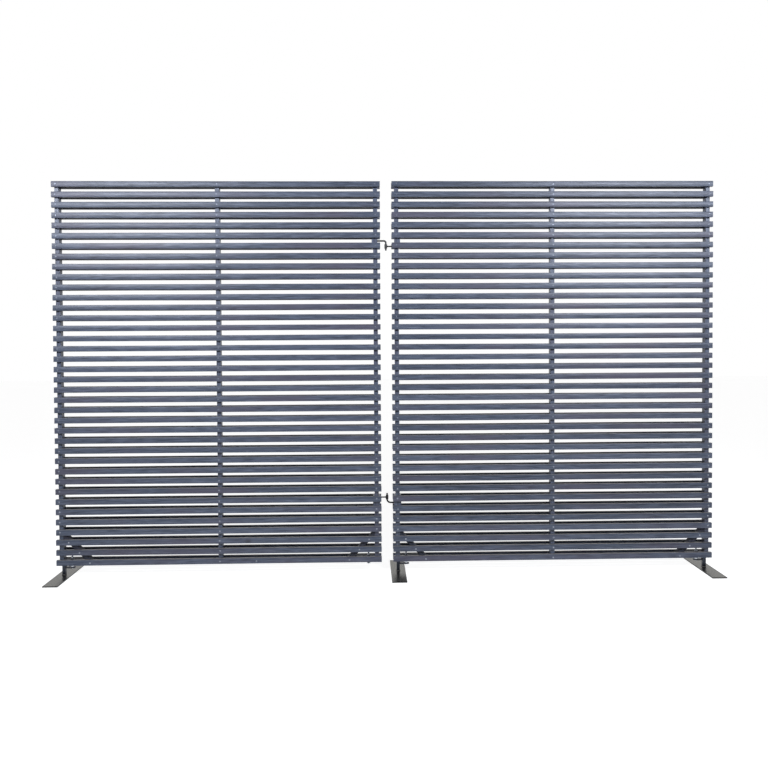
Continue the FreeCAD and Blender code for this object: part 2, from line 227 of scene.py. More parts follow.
print(f"grain lines {GRAIN_FINE / MM:.1f} mm wide, streaks {GRAIN_BROAD / MM:.0f} mm wide")

# %% [markdown]
# The wood's own pattern is only half of what shows. Where the stain went on
# thin it is warmer, end grain drinks more of it and goes dark, and dust and
# painted top light lie on the faces that look up. Each of these is one more
# layer mixed over the last, by a share that the surface itself gives: a patch
# of noise, the way a face looks.


# %% The stain's three tones
TONE_RANGE = 0.08


def blend(tree, share, under, colour):
    """Lay a colour over what is there, by a share from 0 to 1."""
    return add(tree, "ShaderNodeMix", {0: share, 6: under, 7: paint(colour)},
               data_type="RGBA").outputs[2]


def three_tones(tree, grain, dark, middle, light):
    """The stain's colour by the grain, and by how dark this batten took it."""
    tone = add(tree, "ShaderNodeAttribute", attribute_name="tone").outputs["Fac"]
    taken_up = add(tree, "ShaderNodeMath", {0: tone, 1: TONE_RANGE, 2: -TONE_RANGE / 2},
                   operation="MULTIPLY_ADD")
    depth = add(tree, "ShaderNodeMath", {0: grain, 1: taken_up}, operation="ADD")
    ramp = add(tree, "ShaderNodeValToRGB", {"Fac": depth})
    ramp.color_ramp.elements[0].position = 0.33
    ramp.color_ramp.elements[0].color = paint(dark)
    ramp.color_ramp.elements[1].position = 0.68
    ramp.color_ramp.elements[1].color = paint(light)
    ramp.color_ramp.elements.new(0.5).color = paint(middle)
    return ramp.outputs[0]


print("stain:", TONE_RANGE, "of the ramp lies between the palest and the darkest batten")


# %% Thin stain, sawn ends, and dust with painted top light
def thin_places(tree, moved):
    """Patches of about half a metre where the stain is thin."""
    patches = add(tree, "ShaderNodeTexNoise", {"Vector": moved, "Scale": 2.2, "Detail": 2.0})
    return add(tree, "ShaderNodeMapRange",
               {"Value": patches, "From Min": 0.48, "From Max": 0.68, "To Max": 0.5}).outputs[0]


def sawn_ends(tree, outward, grain_turn):
    """Half strength on the faces across the grain, none on the others."""
    turned_out = add(tree, "ShaderNodeMapping", {"Vector": outward, "Rotation": grain_turn})
    lengthwise = add(tree, "ShaderNodeSeparateXYZ", {0: turned_out}).outputs["X"]
    across = add(tree, "ShaderNodeMath", {0: lengthwise}, operation="ABSOLUTE")
    return add(tree, "ShaderNodeMapRange",
               {"Value": across, "From Min": 0.85, "From Max": 0.95, "To Max": 0.5}).outputs[0]


def dust_and_top_light(tree, place, outward, dust_and_light):
    """Dust specks and painted top light on what looks up."""
    upward = add(tree, "ShaderNodeSeparateXYZ", {0: outward}).outputs["Z"]
    specks = add(tree, "ShaderNodeTexNoise", {"Vector": place, "Scale": 60.0, "Detail": 4.0})
    lying = add(tree, "ShaderNodeMapRange",
                {"Value": upward, "From Min": 0.55, "From Max": 1.0, "To Max": dust_and_light})
    return add(tree, "ShaderNodeMath", {0: lying, 1: specks}, operation="MULTIPLY").outputs[0]


# The fourth colour is a light tan-grey: dust, and painted light on upward faces.
THIN_STAIN, KNOT, END_GRAIN, DUST_AND_TOP_LIGHT = "#5E5564", "#2B2A33", "#262A36", "#A39C8F"
print("layers over the stain:", THIN_STAIN, KNOT, END_GRAIN, DUST_AND_TOP_LIGHT)


# %% Stained timber
def stained_timber(name, tones, grain_turn=(0, 0, 0), dust_and_light=1.1, satin=(0.46, 0.38)):
    """Planed softwood under satin woodstain; grain_turn brings the grain onto X."""
    finish = bpy.data.materials.new(name)
    finish.use_nodes = True
    tree = finish.node_tree
    shader = tree.nodes["Principled BSDF"]
    place = add(tree, "ShaderNodeTexCoord").outputs["Object"]
    outward = add(tree, "ShaderNodeTexCoord").outputs["Normal"]
    shift = add(tree, "ShaderNodeAttribute", attribute_name="grain_shift").outputs["Vector"]
    along = add(tree, "ShaderNodeMapping", {"Vector": place, "Rotation": grain_turn})
    moved = add(tree, "ShaderNodeVectorMath", {0: along, 1: shift}, operation="ADD")
    near_knot, bent = knots(tree, moved)
    grain = grain_lines(tree, bent)

    colour = three_tones(tree, grain, *tones)
    colour = blend(tree, thin_places(tree, moved), colour, THIN_STAIN)
    colour = blend(tree, near_knot, colour, KNOT)
    colour = blend(tree, sawn_ends(tree, outward, grain_turn), colour, END_GRAIN)
    # Faces that look up are painted lighter tan-grey: dust, and painted light from above.
    colour = blend(tree, dust_and_top_light(tree, place, outward, dust_and_light), colour, DUST_AND_TOP_LIGHT)
    tree.links.new(colour, shader.inputs["Base Color"])

    gloss = add(tree, "ShaderNodeMapRange",
                {"Value": grain, "From Min": 0.3, "From Max": 0.7,
                 "To Min": satin[0], "To Max": satin[1]})
    tree.links.new(gloss.outputs[0], shader.inputs["Roughness"])
    relief = add(tree, "ShaderNodeBump", {"Height": grain, "Strength": 0.35,
                                          "Distance": 0.5 * MM})
    tree.links.new(relief.outputs[0], shader.inputs["Normal"])
    shader.inputs["IOR"].default_value = 1.5
    return finish


# %% The four timbers
QUARTER = math.pi / 2
SLAT_TONES = ("#2F3644", "#535C6E", "#737B8D")
# Posts and hinge pads: the slats' stain in lighter tones, as painted light.
LIT_POST_TONES = ("#3E4555", "#5C6578", "#7A8296")
# Blocks and braces: the same stain in darker tones, as painted shade between the two layers of
# slats.
SHADED_CORE_TONES = ("#1F222B", "#333844", "#474D5B")
CORE_SATIN = (0.72, 0.64)
UPRIGHT = (0, QUARTER, 0)

slat_timber = stained_timber("stained_spruce_slat", SLAT_TONES)
lit_post_timber = stained_timber("stained_spruce_post", LIT_POST_TONES, UPRIGHT, dust_and_light=0.2,
                             satin=(0.42, 0.34))
shaded_block_timber = stained_timber("stained_spruce_block", SHADED_CORE_TONES, dust_and_light=0.1, satin=CORE_SATIN)
shaded_brace_timber = {
    lean: stained_timber(f"stained_spruce_brace_painted_shade_{lean}", SHADED_CORE_TONES, (0, way * QUARTER / 2, 0),
                         dust_and_light=0.1, satin=CORE_SATIN)
    for lean, way in (("rising", 1), ("falling", -1))}
print("timber finishes:", slat_timber.name, lit_post_timber.name, shaded_block_timber.name,
      *(finish.name for finish in shaded_brace_timber.values()))

# %% [markdown]
# ## Finish 2: the metals
#
# The feet are hot-rolled flat bar with only oil on it: mill scale gives a
# mottled dark grey that shines softly where it is rubbed, and the flat bar's
# upright faces are painted darker, as shade. The bolts, nuts and slat screws are
# zinc plated, which is brighter and a little blue. The screw heads are toned
# blue-grey, more so higher up, which hides some of their shine. The hinge iron
# is painted black. Metals keep the default IOR, because their colour already
# says how much they reflect.


# %% Painted shade on upright faces, and screw heads toned by height
def painted_side_shade(tree):
    """Where shade is painted: 1 on the faces that stand upright, 0 on those that lie flat."""
    outward = add(tree, "ShaderNodeTexCoord").outputs["Normal"]
    upward = add(tree, "ShaderNodeSeparateXYZ", {0: outward}).outputs["Z"]
    level = add(tree, "ShaderNodeMath", {0: upward}, operation="ABSOLUTE")
    return add(tree, "ShaderNodeMapRange",
               {"Value": level, "From Min": 0.3, "From Max": 0.5, "To Min": 1.0,
                "To Max": 0.0}).outputs[0]


# Heights where the screw heads' blue-grey tone starts, and where it is full.
HIGH_TONE_FROM, HIGH_TONE_FULL = 0.2, 0.9


def toned_by_height(tree, place):
    """A blue-grey tone that grows from shin height to the middle of the screen."""
    height = add(tree, "ShaderNodeSeparateXYZ", {0: place}).outputs["Z"]
    return add(tree, "ShaderNodeMapRange",
               {"Value": height, "From Min": HIGH_TONE_FROM, "From Max": HIGH_TONE_FULL,
                "To Max": 0.6}).outputs[0]


print("the coat starts at", HIGH_TONE_FROM, "m and is full from", HIGH_TONE_FULL, "m up")


# %% Metal
def metal(name, dark, light, mottle, roughness, relief, metallic=1.0, cut=None, high_tone=None):
    """Metal mottled in patches of the given size. Cut is a colour painted on its
    upright faces as shade; the last colour is a blue-grey tone that grows higher up."""
    finish = bpy.data.materials.new(name)
    finish.use_nodes = True
    tree = finish.node_tree
    shader = tree.nodes["Principled BSDF"]
    place = add(tree, "ShaderNodeTexCoord").outputs["Object"]
    patches = add(tree, "ShaderNodeTexNoise",
                  {"Vector": place, "Scale": 1 / mottle, "Detail": 6.0, "Roughness": 0.62})
    ramp = add(tree, "ShaderNodeValToRGB", {"Fac": patches})
    ramp.color_ramp.elements[0].position = 0.32
    ramp.color_ramp.elements[0].color = paint(dark)
    ramp.color_ramp.elements[1].position = 0.68
    ramp.color_ramp.elements[1].color = paint(light)
    colour = ramp.outputs[0]
    # Painted shade: the upright faces take the cut colour.
    if cut:
        colour = blend(tree, painted_side_shade(tree), colour, cut)
    # The screw heads' blue-grey tone grows with height.
    if high_tone:
        colour = blend(tree, toned_by_height(tree, place), colour, high_tone)
    tree.links.new(colour, shader.inputs["Base Color"])
    gloss = add(tree, "ShaderNodeMapRange",
                {"Value": patches, "From Min": 0.3, "From Max": 0.7,
                 "To Min": roughness + 0.1, "To Max": roughness - 0.06})
    tree.links.new(gloss.outputs[0], shader.inputs["Roughness"])
    bump = add(tree, "ShaderNodeBump",
               {"Height": patches, "Strength": relief, "Distance": 0.2 * MM})
    tree.links.new(bump.outputs[0], shader.inputs["Normal"])
    shader.inputs["Metallic"].default_value = metallic
    return finish


# %% The six metals
# The plate's upright faces are painted near-black, as shade.
mill_scale = metal("hot_rolled_steel", "#3B3B39", "#767570", 5 * MM, 0.30, 0.35, cut="#161617")
bar_scale = metal("hot_rolled_bar", "#30333B", "#585C66", 5 * MM, 0.38, 0.35)
weld_steel = metal("weld_bead_steel", "#4A4846", "#8C8984", 2 * MM, 0.36, 0.5)
zinc = metal("zinc_plate", "#B0B5BE", "#DFE2E7", 3 * MM, 0.28, 0.2)
# Screw heads toned blue-grey, more so higher up.
screw_zinc = metal("dulled_zinc_screws", "#8E939D", "#BABFC8", 2 * MM, 0.38, 0.1,
                   metallic=0.4, high_tone="#565E70")
black_iron = metal("black_painted_iron", "#0D0E10", "#1E1F22", 4 * MM, 0.4, 0.4, metallic=0.0)
print("metal finishes:", *(finish.name for finish in (
    mill_scale, bar_scale, weld_steel, zinc, screw_zinc, black_iron)))

# %% [markdown]
# ## The slats
#
# Thirty-eight battens a side, all the same and at one pitch: this is what a
# geometry tree is for. It draws one batten by sweeping a rounded rectangle
# along a line, repeats it up the panel, and then bends every copy a little,
# because sawn timber is never quite straight. Each copy also carries two
# random values that the finish reads: how dark it took the stain, and from
# which part of the tree its grain comes.

# %% A rule for a stack of slats
slat_rule, size = new_rule(
    "slat_stack", Slats="count", Pitch="size", Length="size", Face="size", Depth="size",
    Arris="size", Waver="size", Seed="count", Timber="finish")
section = add(slat_rule, "GeometryNodeCurvePrimitiveQuadrilateral",
              {"Width": size["Depth"], "Height": size["Face"]})
rounded = add(slat_rule, "GeometryNodeFilletCurve",
              {"Curve": section, "Count": 2, "Radius": size["Arris"]}, mode="POLY")
half = add(slat_rule, "ShaderNodeMath", {0: size["Length"], 1: 0.5}, operation="MULTIPLY")
start = add(slat_rule, "ShaderNodeMath", {0: half, 1: -1.0}, operation="MULTIPLY")
line = add(slat_rule, "GeometryNodeCurvePrimitiveLine",
           {"Start": add(slat_rule, "ShaderNodeCombineXYZ", {"X": start}),
            "End": add(slat_rule, "ShaderNodeCombineXYZ", {"X": half})})
# Fifteen stations along a batten are enough for its slow bend.
stations = add(slat_rule, "GeometryNodeResampleCurve", {"Curve": line, "Count": 15})
batten = add(slat_rule, "GeometryNodeCurveToMesh",
             {"Curve": stations, "Profile Curve": rounded, "Fill Caps": True})
rows = add(slat_rule, "GeometryNodeMeshLine",
           {"Count": size["Slats"],
            "Offset": add(slat_rule, "ShaderNodeCombineXYZ", {"Z": size["Pitch"]})})
stack = add(slat_rule, "GeometryNodeInstanceOnPoints", {"Points": rows, "Instance": batten})
print("slat rule, the stack:", len(slat_rule.nodes), "nodes")

# %% Each slat's own tone and grain
tone_draw = add(slat_rule, "FunctionNodeRandomValue", {"Seed": size["Seed"]}, data_type="FLOAT")
toned = add(slat_rule, "GeometryNodeStoreNamedAttribute",
            {"Geometry": stack, "Name": "tone", "Value": tone_draw.outputs[1]},
            data_type="FLOAT", domain="INSTANCE")
TREE_SIZE = 9
shift_draw = add(slat_rule, "FunctionNodeRandomValue",
                 {0: (-TREE_SIZE,) * 3, 1: (TREE_SIZE,) * 3, "Seed": size["Seed"]},
                 data_type="FLOAT_VECTOR")
shifted = add(slat_rule, "GeometryNodeStoreNamedAttribute",
              {"Geometry": toned, "Name": "grain_shift", "Value": shift_draw.outputs[0]},
              data_type="FLOAT_VECTOR", domain="INSTANCE")
loose = add(slat_rule, "GeometryNodeRealizeInstances", {0: shifted})
print("slat rule, with tone and grain:", len(slat_rule.nodes), "nodes")

# %% Each slat's own bend
shift = add(slat_rule, "GeometryNodeInputNamedAttribute", {"Name": "grain_shift"},
            data_type="FLOAT_VECTOR").outputs[0]
along_slat = add(slat_rule, "ShaderNodeVectorMath",
                 {0: add(slat_rule, "GeometryNodeInputPosition"), 1: (0.9, 0, 0)},
                 operation="MULTIPLY")
bend_at = add(slat_rule, "ShaderNodeVectorMath", {0: along_slat, 1: shift}, operation="ADD")
bend = add(slat_rule, "ShaderNodeTexNoise", {"Vector": bend_at, "Scale": 1.0, "Detail": 1.0})
centred = add(slat_rule, "ShaderNodeVectorMath",
              {0: bend.outputs["Color"], 1: (0.5, 0.5, 0.5)}, operation="SUBTRACT")
# A batten bends least in its depth, where the posts hold it.
held = add(slat_rule, "ShaderNodeVectorMath", {0: centred, 1: (0.6, 0.3, 1.0)},
           operation="MULTIPLY")
waver = add(slat_rule, "ShaderNodeVectorMath", {0: held, "Scale": size["Waver"]},
            operation="SCALE")
bowed = add(slat_rule, "GeometryNodeSetPosition", {"Geometry": loose, "Offset": waver})
end_rule(slat_rule, bowed, size["Timber"])
print("slat rule, whole:", len(slat_rule.nodes), "nodes")

# %% Growing the four stacks of slats
SLATS = 38
SLAT_FACE = 26 * MM
SLAT_ARRIS, SLAT_WAVER = 1.3 * MM, 4 * MM
FIRST_SLAT_SEED = 11
layers = [(side, layer) for side in SIDES for layer in ("front", "rear")]
for seed, (side, layer) in enumerate(layers, start=FIRST_SLAT_SEED):
    node = f"{side}_{layer}_slats"
    low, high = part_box(node)
    stack = grow(slat_rule, f"{side}_{layer}_battens", [(0, 0, 0)],
                 Slats=SLATS, Pitch=(high.z - low.z - SLAT_FACE) / (SLATS - 1),
                 Length=high.x - low.x, Face=SLAT_FACE, Depth=high.y - low.y,
                 Arris=SLAT_ARRIS, Waver=SLAT_WAVER, Seed=seed, Timber=slat_timber)
    stack.data.transform(Matrix.Translation(
        ((low.x + high.x) / 2, (low.y + high.y) / 2, low.z + SLAT_FACE / 2)))
    fit(stack, f"{side}_panel", "stained_slats", node)

# %% [markdown]
# ## The frame inside: posts, braces, blocks and packing pieces
#
# These are plain lengths of the same timber, already right in the CAD model,
# apart from their knife-sharp edges. A real arris is rounded by planing and by
# the stain, and that thin rounded line is what catches the light. So each one
# is copied, its loose triangles are merged into clean faces, and a Bevel
# modifier rounds every edge that is sharper than 35 degrees.


# %% Easing the edges of a CAD node
SHARP = math.radians(35)
SAME_PLANE = math.radians(1)
SAME_PLACE = 0.01 * MM


def merged_copy(node, name):
    """The CAD node's triangles as one skin of flat faces, in a mesh of its own."""
    clean = bmesh.new()
    clean.from_mesh(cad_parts[node].data)
    bmesh.ops.remove_doubles(clean, verts=clean.verts, dist=SAME_PLACE)
    bmesh.ops.dissolve_limit(clean, angle_limit=SAME_PLANE, verts=clean.verts,
                             edges=clean.edges)
    mesh = bpy.data.meshes.new(name)
    clean.to_mesh(mesh)
    clean.free()
    return mesh


def eased(node, name, arris, finish):
    """A copy of a CAD node with its sharp edges rounded, and a tone and grain of its own."""
    piece = as_object(name, merged_copy(node, name))
    piece.data.materials.clear()
    piece.data.materials.append(finish)
    round_over = piece.modifiers.new("round over", "BEVEL")
    round_over.width = arris
    round_over.segments = 2
    round_over.limit_method = "ANGLE"
    round_over.angle_limit = SHARP
    bake(piece)
    draw = random.Random(name)
    marks = {"tone": ("FLOAT", "value", [draw.random()]),
             "grain_shift": ("FLOAT_VECTOR", "vector",
                             [draw.uniform(-TREE_SIZE, TREE_SIZE) for _ in "xyz"])}
    for label, (kind, field, value) in marks.items():
        values = value * len(piece.data.vertices)
        piece.data.attributes.new(label, kind, "POINT").data.foreach_set(field, values)
    return piece


print("edges sharper than", round(math.degrees(SHARP)), "degrees are eased")

# %% Posts, blocks, braces and packing pieces
TIMBER_ARRIS, PACKING_ARRIS = 1.2 * MM, 0.8 * MM


def core_timber(side, part, arris, finish):
    """A piece between the two layers of slats."""
    node = f"{side}_{part}"
    fit(eased(node, f"{node}_timber", arris, finish), f"{side}_panel", "stained_core", node)


# Posts and hinge pads take lighter tones, as painted light; blocks and braces darker ones, as
# painted shade.
for side in SIDES:
    for place in ("inner", "middle", "outer"):
        core_timber(side, f"{place}_post", TIMBER_ARRIS, lit_post_timber)
    for place in ("inner", "outer"):
        core_timber(side, f"{place}_block", TIMBER_ARRIS, shaded_block_timber)
        lean = "rising" if (side == "left") == (place == "inner") else "falling"
        core_timber(side, f"{place}_brace", TIMBER_ARRIS, shaded_brace_timber[lean])
    core_timber(side, "hinge_pads", PACKING_ARRIS, lit_post_timber)

# %% [markdown]
# ## Steel feet
#
# Each foot is a flat bar on the ground with a square bar standing on it and a
# tab at its top, all cut from stock. Shears leave a slightly turned edge, so
# the same easing serves them, only smaller. The left foot goes round with the
# left panel, and the other two stay with the right one.

# %% Flat bars, square bars and tabs
STEEL_ARRIS = 0.7 * MM
FEET = {"left": "left_panel", "middle": "right_panel", "right": "right_panel"}
for foot, body in FEET.items():
    for part, finish in (("plate", mill_scale), ("upright", bar_scale), ("tab", bar_scale)):
        node = f"{foot}_foot_{part}"
        fit(eased(node, f"{node}_steel", STEEL_ARRIS, finish), body, "steel_foot", node)

# %% [markdown]
# ## Bars and weld beads that follow a path
#
# A hinge hook is a round bar bent at a right angle, and a weld bead is a thin
# rope of metal laid along a joint. Both are a circle swept along a path, so one
# rule makes both: it rounds the path's corners, walks along it in even steps and
# sweeps the circle. For a bead, the circle also swells and shrinks every few
# millimetres, which gives the scales that a welder leaves. A value called girth
# on the path's points thins the bar where its tip is bevelled.

# %% A rule for swept bars and beads
bar_rule, size = new_rule(
    "swept_bar", Radius="size", Bend="size", Step="size", Ripple="size", Ripple_length="size",
    Sides="count", Finish="finish")
path = add(bar_rule, "GeometryNodeMeshToCurve", {0: bar_rule.nodes["Group Input"]})
bent = add(bar_rule, "GeometryNodeFilletCurve",
           {"Curve": path, "Count": 12, "Radius": size["Bend"], "Limit Radius": True},
           mode="POLY")
walked = add(bar_rule, "GeometryNodeResampleCurve", {"Curve": bent, "Length": size["Step"]},
             mode="LENGTH")
along = add(bar_rule, "GeometryNodeSplineParameter").outputs["Length"]
turns = add(bar_rule, "ShaderNodeMath", {0: along, 1: size["Ripple_length"]}, operation="DIVIDE")
angle = add(bar_rule, "ShaderNodeMath", {0: turns, 1: 2 * math.pi}, operation="MULTIPLY")
wave = add(bar_rule, "ShaderNodeMath", {0: angle}, operation="SINE")
swell = add(bar_rule, "ShaderNodeMath", {0: wave, 1: size["Ripple"], 2: 1.0},
            operation="MULTIPLY_ADD")
girth = add(bar_rule, "GeometryNodeInputNamedAttribute", {"Name": "girth"}, data_type="FLOAT")
thickness = add(bar_rule, "ShaderNodeMath", {0: swell, 1: girth}, operation="MULTIPLY")
circle = add(bar_rule, "GeometryNodeCurvePrimitiveCircle",
             {"Resolution": size["Sides"], "Radius": size["Radius"]})
bar = add(bar_rule, "GeometryNodeCurveToMesh",
          {"Curve": walked, "Profile Curve": circle, "Scale": thickness, "Fill Caps": True})
smooth = add(bar_rule, "GeometryNodeSetShadeSmooth", {"Geometry": bar})
end_rule(bar_rule, smooth, size["Finish"])
print("bar rule:", len(bar_rule.nodes), "nodes")


# %% Sweeping a bar, and joining pieces
RIPPLE_LENGTH = 2.4 * MM


def sweep(name, points, radius, finish, bend=0.0, step=1.5 * MM, ripple=0.0, closed=False,
          tip=None, sides=24):
    """A bar or a bead along a path; tip is its girth at the first point."""
    edges = [(i, i + 1) for i in range(len(points) - 1)]
    if closed:
        edges.append((len(points) - 1, 0))
    girths = [1.0] * len(points)
    if tip:
        girths[0] = tip
    return grow(bar_rule, name, points, edges, girths, Radius=radius, Bend=bend, Step=step,
                Ripple=ripple, Ripple_length=RIPPLE_LENGTH, Sides=sides, Finish=finish)


def joined(name, pieces):
    """Several finished meshes made one piece."""
    whole = bmesh.new()
    finishes = []
    for piece in pieces:
        first_face = len(whole.faces)
        whole.from_mesh(piece.data)
        whole.faces.ensure_lookup_table()
        own = list(piece.data.materials)
        finishes += [f for f in own if f not in finishes]
        for face in whole.faces[first_face:]:
            face.material_index = finishes.index(own[face.material_index])
    mesh = bpy.data.meshes.new(name)
    whole.to_mesh(mesh)
    whole.free()
    for finish in finishes:
        mesh.materials.append(finish)
    for piece in pieces:
        bpy.data.objects.remove(piece)
    return as_object(name, mesh)


print(f"a weld bead's scales are {RIPPLE_LENGTH / MM:.1f} mm apart")

# %% [markdown]
# ## Turned and hexagonal pieces
#
# Barrels, washers and domed heads are turned: a profile of radius and height is
# spun round an axis. A real nut is a hexagon whose corners are cut back by a
# cone of 30 degrees, so each of its flats ends in a shallow curve. Both come
# from one function that stacks rings of points and joins each ring to the next.


# %% Stacked rings
SAME_POINT = 0.001 * MM
TURNED_SMOOTH = math.radians(35)
FULL_TURN = 2 * math.pi


def ringed(name, rings, finish, place=(0, 0, 0), turn=Matrix.Identity(4), smooth=None):
    """A closed skin through rings of points; the last ring joins the first."""
    count = len(rings[0])
    points = [point for ring in rings for point in ring]
    faces = []
    for i in range(len(rings)):
        a, b = i * count, ((i + 1) % len(rings)) * count
        for j in range(count):
            k = (j + 1) % count
            faces.append((a + j, a + k, b + k, b + j))
    mesh = bpy.data.meshes.new(name)
    mesh.from_pydata(points, [], faces)
    skin = bmesh.new()
    skin.from_mesh(mesh)
    bmesh.ops.remove_doubles(skin, verts=skin.verts, dist=SAME_POINT)
    bmesh.ops.recalc_face_normals(skin, faces=skin.faces)
    skin.to_mesh(mesh)
    skin.free()
    mesh.materials.append(finish)
    mesh.transform(Matrix.Translation(place) @ turn)
    if smooth:
        mesh.shade_smooth()
        mesh.set_sharp_from_angle(angle=smooth)
    return as_object(name, mesh)


def turned(name, profile, finish, place):
    """A profile of (radius, height) pairs spun round Z; radius 0 closes it."""
    steps = 32
    angles = [FULL_TURN * j / steps for j in range(steps)]
    rings = [[(r * math.cos(a), r * math.sin(a), z) for a in angles] for r, z in profile]
    return ringed(name, rings, finish, place, smooth=TURNED_SMOOTH)


print("a turned piece is smooth below", round(math.degrees(TURNED_SMOOTH)), "degrees")

# %% A hexagon nut
BOLT_RADIUS = 4 * MM
NUT_ACROSS, NUT_HEIGHT = 13 * MM, 6.5 * MM
NUT_SHOULDER = 0.94 * NUT_ACROSS / 2
NUT_CONE = math.radians(30)
NUT_SMOOTH = math.radians(20)


def nut(name, place, turn_by):
    """A hexagon nut with both faces cut back by a cone."""
    steps = 48
    rim = []
    for j in range(steps):
        a = FULL_TURN * j / steps
        off_flat = (a % (math.pi / 3)) - math.pi / 6
        rim.append((a, NUT_ACROSS / 2 / math.cos(off_flat)))

    def ring(radius_of, height_of):
        return [(radius_of(r) * math.cos(a), radius_of(r) * math.sin(a), height_of(r))
                for a, r in rim]

    def cut(r):
        return (r - NUT_SHOULDER) * math.tan(NUT_CONE)

    rings = [
        ring(lambda r: BOLT_RADIUS, lambda r: 0.0),
        ring(lambda r: NUT_SHOULDER, lambda r: 0.0),
        ring(lambda r: r, cut),
        ring(lambda r: r, lambda r: NUT_HEIGHT - cut(r)),
        ring(lambda r: NUT_SHOULDER, lambda r: NUT_HEIGHT),
        ring(lambda r: BOLT_RADIUS, lambda r: NUT_HEIGHT),
    ]
    return ringed(name, rings, zinc, place, Matrix.Rotation(turn_by, 4, "Z"), NUT_SMOOTH)


print(f"nut: {NUT_ACROSS / MM:.0f} mm across its flats")

# %% [markdown]
# ## Threads
#
# A thread is one groove that climbs round the bolt: its depth at a point depends
# on the height and on the angle together. A geometry tree says exactly that. It
# takes a fine cylinder and pushes each point inwards by a zigzag of height
# divided by pitch, less the angle as a share of a full turn.

# %% A rule for threaded bar
thread_rule, size = new_rule(
    "threaded_bar", Radius="size", Length="size", Pitch="size", Depth="size", Finish="finish")
grooves = add(thread_rule, "ShaderNodeMath", {0: size["Length"], 1: size["Pitch"]},
              operation="DIVIDE")
# Four rows of points to each groove are the fewest that draw its zigzag.
segments = add(thread_rule, "ShaderNodeMath", {0: grooves, 1: 4.0}, operation="MULTIPLY")
blank = add(thread_rule, "GeometryNodeMeshCylinder",
            {"Vertices": 18, "Side Segments": segments, "Radius": size["Radius"],
             "Depth": size["Length"]})
position = add(thread_rule, "GeometryNodeInputPosition")
spot = add(thread_rule, "ShaderNodeSeparateXYZ", {0: position})
angle = add(thread_rule, "ShaderNodeMath", {0: spot.outputs["Y"], 1: spot.outputs["X"]},
            operation="ARCTAN2")
share = add(thread_rule, "ShaderNodeMath", {0: angle, 1: FULL_TURN}, operation="DIVIDE")
climb = add(thread_rule, "ShaderNodeMath", {0: spot.outputs["Z"], 1: size["Pitch"]},
            operation="DIVIDE")
phase = add(thread_rule, "ShaderNodeMath", {0: climb, 1: share}, operation="SUBTRACT")
zigzag = add(thread_rule, "ShaderNodeMath", {0: phase, 1: 0.5}, operation="PINGPONG")
groove = add(thread_rule, "ShaderNodeMath", {0: zigzag, 1: 2.0}, operation="MULTIPLY")
depth = add(thread_rule, "ShaderNodeMath", {0: groove, 1: size["Depth"]}, operation="MULTIPLY")
half = add(thread_rule, "ShaderNodeMath", {0: size["Length"], 1: 0.5}, operation="MULTIPLY")
below_tip = add(thread_rule, "ShaderNodeMath", {0: half, 1: spot.outputs["Z"]},
                operation="SUBTRACT")
TIP_BEVEL = 1.2 * MM
bevel = add(thread_rule, "ShaderNodeMapRange",
            {"Value": below_tip, "From Max": TIP_BEVEL, "To Min": TIP_BEVEL, "To Max": 0.0})
total = add(thread_rule, "ShaderNodeMath", {0: depth, 1: bevel.outputs[0]}, operation="ADD")
as_share = add(thread_rule, "ShaderNodeMath", {0: total, 1: size["Radius"]}, operation="DIVIDE")
inwards = add(thread_rule, "ShaderNodeVectorMath", {0: position, 1: (-1, -1, 0)},
              operation="MULTIPLY")
push = add(thread_rule, "ShaderNodeVectorMath", {0: inwards, "Scale": as_share},
           operation="SCALE")
cut_thread = add(thread_rule, "GeometryNodeSetPosition", {"Geometry": blank, "Offset": push})
end_rule(thread_rule, cut_thread, size["Finish"])
print("thread rule:", len(thread_rule.nodes), "nodes")

# %% [markdown]
# ## Foot bolts, nuts and washers
#
# Coach bolts: a domed head, a square neck that sits in the square hole of the
# foot's tab so the bolt can't turn, and a threaded shank that goes up through
# the corner block. One bolt, at the left panel's inner end, holds nothing: it
# is the spare for joining another screen.

# %% One bolt
BOLT_LENGTH = 80 * MM
HEAD_RADIUS, HEAD_HEIGHT = 9 * MM, 3.52 * MM
NECK_HALF = 0.98 * BOLT_RADIUS
TAB_THICK = 5 * MM
THREAD_PITCH, THREAD_DEPTH = 1.25 * MM, 0.6 * MM
THREAD_RADIUS = BOLT_RADIUS - 0.02 * MM


def bolt(name, x, rim):
    """Head, square neck and threaded shank; rim is the height of the head's rim."""
    dome = [(HEAD_RADIUS * math.sin(a), rim - HEAD_HEIGHT * math.cos(a))
            for a in (QUARTER * i / 8 for i in range(9))]
    head = turned(f"{name}_head", [*dome, (HEAD_RADIUS, rim), (0, rim)], zinc, (x, 0, 0))
    square = [(x + a * NECK_HALF, b * NECK_HALF)
              for a, b in ((1, 1), (-1, 1), (-1, -1), (1, -1))]
    neck = ringed(f"{name}_neck", [[(px, py, z) for px, py in square]
                                   for z in (rim, rim + TAB_THICK)], zinc)
    length = BOLT_LENGTH - TAB_THICK
    shank = grow(thread_rule, f"{name}_shank", [(0, 0, 0)], Radius=THREAD_RADIUS,
                 Length=length, Pitch=THREAD_PITCH, Depth=THREAD_DEPTH, Finish=zinc)
    shank.data.transform(Matrix.Translation((x, 0, rim + TAB_THICK + length / 2)))
    return [head, neck, shank]


print(f"bolt: {BOLT_LENGTH / MM:.0f} mm under its head")

# %% Bolts, nuts and washers in the four corners
BOLT_FROM_CENTRE = {"inner": 90 * MM, "outer": 1495 * MM}
FOOT_BOLT, SPARE_BOLT = 38 * MM, 44 * MM
FOOT_NUT, SPARE_NUT = 43 * MM, 49.5 * MM
BLOCK_TOP = 82 * MM
WASHER_BORE, WASHER_RADIUS, WASHER_THICK = 4.25 * MM, 8 * MM, 1.6 * MM
WASHER_FLAT = 7.8 * MM
WASHER = [(WASHER_BORE, 0), (WASHER_FLAT, 0), (WASHER_RADIUS, 0.3 * MM),
          (WASHER_RADIUS, 1.3 * MM), (WASHER_FLAT, WASHER_THICK), (WASHER_BORE, WASHER_THICK)]

